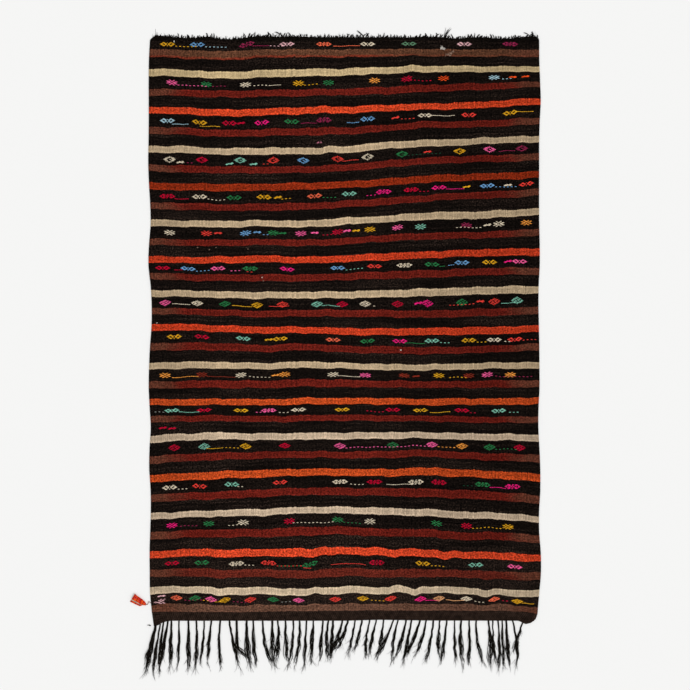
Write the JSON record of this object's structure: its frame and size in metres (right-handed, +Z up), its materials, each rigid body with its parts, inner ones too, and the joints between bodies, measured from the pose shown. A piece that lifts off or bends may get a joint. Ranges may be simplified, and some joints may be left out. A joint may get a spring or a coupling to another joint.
{
  "type": "jajim rug",
  "caption": "Flat-woven wool jajim rug with cross stripes, brocaded motifs in its dark stripes, a plaited end with long warp fringe and a frayed far end.",
  "frame": {"origin": "on the floor under the middle of the rug's overall plan, fringe and charm included", "axes": "+Y along the length, from the fringed end to the frayed end; +X across the width, away from the charm; +Z up out of the face"},
  "size_m": [1.7846, 2.8338, 0.01],
  "materials": {
    "striped_weave": "matt, weft-faced wool in black, oxblood, cream and orange stripes with coloured brocade",
    "dark_warp": "matt, brown-black goat hair and wool, plaited and left loose",
    "charm_cloth": "matt, orange-red woven scrap with a pale reverse",
    "tie_thread": "matt, twisted thread"
  },
  "bodies": {
    "root": {"cloth": "striped_weave", "plaited_end": "dark_warp", "frayed_end": "dark_warp", "charm": "charm_cloth", "charm_thread": "tie_thread"}
  },
  "joints": []
}
